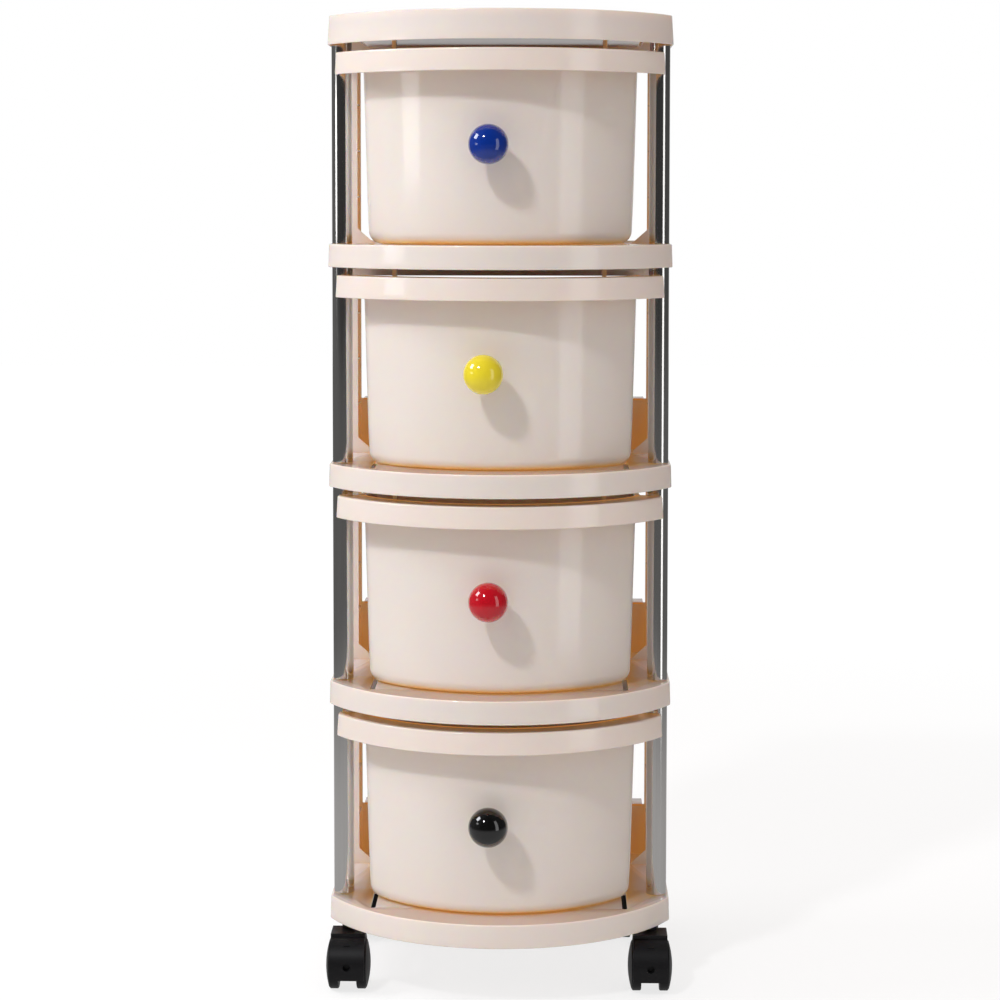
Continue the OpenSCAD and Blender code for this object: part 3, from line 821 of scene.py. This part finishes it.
def make_world():
    world = bpy.data.worlds.new("studio")
    bpy.context.scene.world = world
    world.use_nodes = True
    nodes, links = world.node_tree.nodes, world.node_tree.links
    nodes.clear()
    out = nodes.new("ShaderNodeOutputWorld")
    coord = nodes.new("ShaderNodeTexCoord")
    path = nodes.new("ShaderNodeLightPath")
    fill = nodes.new("ShaderNodeBackground")
    fill.inputs["Color"].default_value = (1.0, 0.92, 0.88, 1)
    fill.inputs["Strength"].default_value = 0.57
    seen = nodes.new("ShaderNodeBackground")
    seen.inputs["Color"].default_value = (1, 1, 1, 1)
    seen.inputs["Strength"].default_value = 1.0
    gloss = nodes.new("ShaderNodeBackground")
    links.new(ring_of_light(nodes, links, coord.outputs["Generated"]), gloss.inputs["Color"])
    first = nodes.new("ShaderNodeMixShader")
    links.new(path.outputs["Is Glossy Ray"], first.inputs[0])
    links.new(fill.outputs[0], first.inputs[1])
    links.new(gloss.outputs[0], first.inputs[2])
    second = nodes.new("ShaderNodeMixShader")
    links.new(path.outputs["Is Camera Ray"], second.inputs[0])
    links.new(first.outputs[0], second.inputs[1])
    links.new(seen.outputs[0], second.inputs[2])
    links.new(second.outputs[0], out.inputs[0])


def make_floor():
    bm = bmesh.new()
    bmesh.ops.create_grid(bm, x_segments=1, y_segments=1, size=9.0)
    mesh = bpy.data.meshes.new("studio_floor")
    bm.to_mesh(mesh)
    bm.free()
    floor = bpy.data.objects.new("studio_floor", mesh)
    bpy.context.scene.collection.objects.link(floor)
    mat, nodes, links, bsdf = principled("studio floor")
    bsdf.inputs["Roughness"].default_value = 0.9
    bsdf.inputs["Specular IOR Level"].default_value = 0.1
    path = nodes.new("ShaderNodeLightPath")
    place = nodes.new("ShaderNodeTexCoord")
    away = nodes.new("ShaderNodeVectorMath")
    away.operation = "LENGTH"
    links.new(place.outputs["Object"], away.inputs[0])
    far = nodes.new("ShaderNodeMapRange")
    far.interpolation_type = "SMOOTHSTEP"
    far.inputs["From Min"].default_value = 0.6
    far.inputs["From Max"].default_value = 2.2
    links.new(away.outputs["Value"], far.inputs["Value"])

    def blend(seen, near, distant, rest):
        """A level for one kind of ray, fading with distance, and rest for the others."""
        level = nodes.new("ShaderNodeMapRange")
        level.inputs["To Min"].default_value = near
        level.inputs["To Max"].default_value = distant
        links.new(far.outputs["Result"], level.inputs["Value"])
        pick = nodes.new("ShaderNodeMix")
        links.new(path.outputs[seen], pick.inputs["Factor"])
        links.new(level.outputs["Result"], pick.inputs["B"])
        if isinstance(rest, float):
            pick.inputs["A"].default_value = rest
        else:
            links.new(rest, pick.inputs["A"])
        return pick.outputs["Result"]
    links.new(blend("Is Camera Ray", 0.26, 0.0, blend("Is Glossy Ray", 0.1, 0.0, 0.8)),
              bsdf.inputs["Base Color"])
    links.new(blend("Is Camera Ray", 0.77, 1.0, blend("Is Glossy Ray", 0.35, 0.12, 0.0)),
              bsdf.inputs["Emission Strength"])
    bsdf.inputs["Emission Color"].default_value = (1, 1, 1, 1)
    mesh.materials.append(mat)


def soft_lamp(name, place, aim, size, power, colour, lights_up=True):
    """A soft lamp, or with lights_up off a panel that shows in gloss but lights nothing else."""
    data = bpy.data.lights.new(name, "AREA")
    data.shape = "RECTANGLE"
    data.size, data.size_y = size
    data.energy = power
    data.color = colour
    lamp = bpy.data.objects.new(name, data)
    bpy.context.scene.collection.objects.link(lamp)
    lamp.location = place
    lamp.rotation_euler = (Vector(aim) - Vector(place)).to_track_quat("-Z", "Y").to_euler()
    lamp.visible_camera = False
    lamp.visible_diffuse = lights_up


def around(azimuth, rise, distance, height):
    """A place round the tower: azimuth from the front to the right, rise above height."""
    a, r = math.radians(azimuth), math.radians(rise)
    return (distance * math.cos(r) * math.sin(a), -0.12 - distance * math.cos(r) * math.cos(a),
            height + distance * math.sin(r))


class TOWER_OT_stage(bpy.types.Operator):
    """Set up the floor, the lamps, the world and the camera"""
    bl_idname = "tower.stage"
    bl_label = "Studio"

    def execute(self, context):
        scene = context.scene
        scene.view_settings.view_transform = "Standard"
        make_world()
        make_floor()
        middle = (0, -0.12, 0.5)
        white = (1, 1, 1)
        soft_lamp("key", around(-32, 44, 5.0, 0.5), middle, (0.4, 0.4), 88, (1.0, 1.0, 1.03))
        soft_lamp("left_softbox", around(-88, 38, 2.6, 0.5), middle, (0.9, 0.9), 25, (0.98, 1.0, 1.04))
        soft_lamp("left_panel", around(-70, 0, 1.4, 0.79), (0, -0.12, 0.79), (0.36, 0.22), 0.75,
                  white, False)
        soft_lamp("right_panel", around(55, 0, 1.4, 0.72), (0, -0.12, 0.72), (0.46, 1.5), 3.6,
                  white, False)
        data = bpy.data.cameras.new("camera")
        camera = bpy.data.objects.new("camera", data)
        scene.collection.objects.link(camera)
        scene.camera = camera
        data.sensor_width = 36.0
        data.lens = LENS_PX * data.sensor_width / 1000
        data.shift_y = -0.1162
        data.clip_end = 50
        camera.matrix_world = (Matrix.Translation(CAMERA_AT) @ Matrix.Rotation(CAMERA_YAW, 4, "Z")
                               @ Matrix.Rotation(math.pi / 2 - CAMERA_PITCH, 4, "X")
                               @ Matrix.Rotation(-CAMERA_ROLL, 4, "Z"))
        return {"FINISHED"}


class TOWER_PT_panel(bpy.types.Panel):
    """Buttons and settings for the drawer tower"""
    bl_idname = "TOWER_PT_panel"
    bl_label = "Drawer tower"
    bl_space_type = "VIEW_3D"
    bl_region_type = "UI"
    bl_category = "Drawer tower"

    def draw(self, context):
        layout = self.layout
        for group in (context.scene.tower_sizes, context.scene.tower_colours):
            box = layout.box()
            for name in group.bl_rna.properties.keys():
                if name not in ("rna_type", "name"):
                    box.prop(group, name)
        for operator in OPERATORS:
            layout.operator(operator.bl_idname)


OPERATORS = (TOWER_OT_finishes, TOWER_OT_trays, TOWER_OT_tubes, TOWER_OT_drawers, TOWER_OT_knobs,
             TOWER_OT_frames, TOWER_OT_castors, TOWER_OT_stage)
CLASSES = (TowerSizes, TowerColours) + OPERATORS + (TOWER_PT_panel,)


def register():
    for cls in CLASSES:
        bpy.utils.register_class(cls)
    bpy.types.Scene.tower_sizes = PointerProperty(type=TowerSizes)
    bpy.types.Scene.tower_colours = PointerProperty(type=TowerColours)


def unregister():
    del bpy.types.Scene.tower_colours
    del bpy.types.Scene.tower_sizes
    for cls in reversed(CLASSES):
        bpy.utils.unregister_class(cls)


def main():
    register()
    for build in (bpy.ops.tower.finishes, bpy.ops.tower.trays, bpy.ops.tower.tubes, bpy.ops.tower.drawers,
                  bpy.ops.tower.knobs, bpy.ops.tower.frames, bpy.ops.tower.castors, bpy.ops.tower.stage):
        build()
    bpy.context.view_layer.update()


if __name__ == "__main__":
    main()
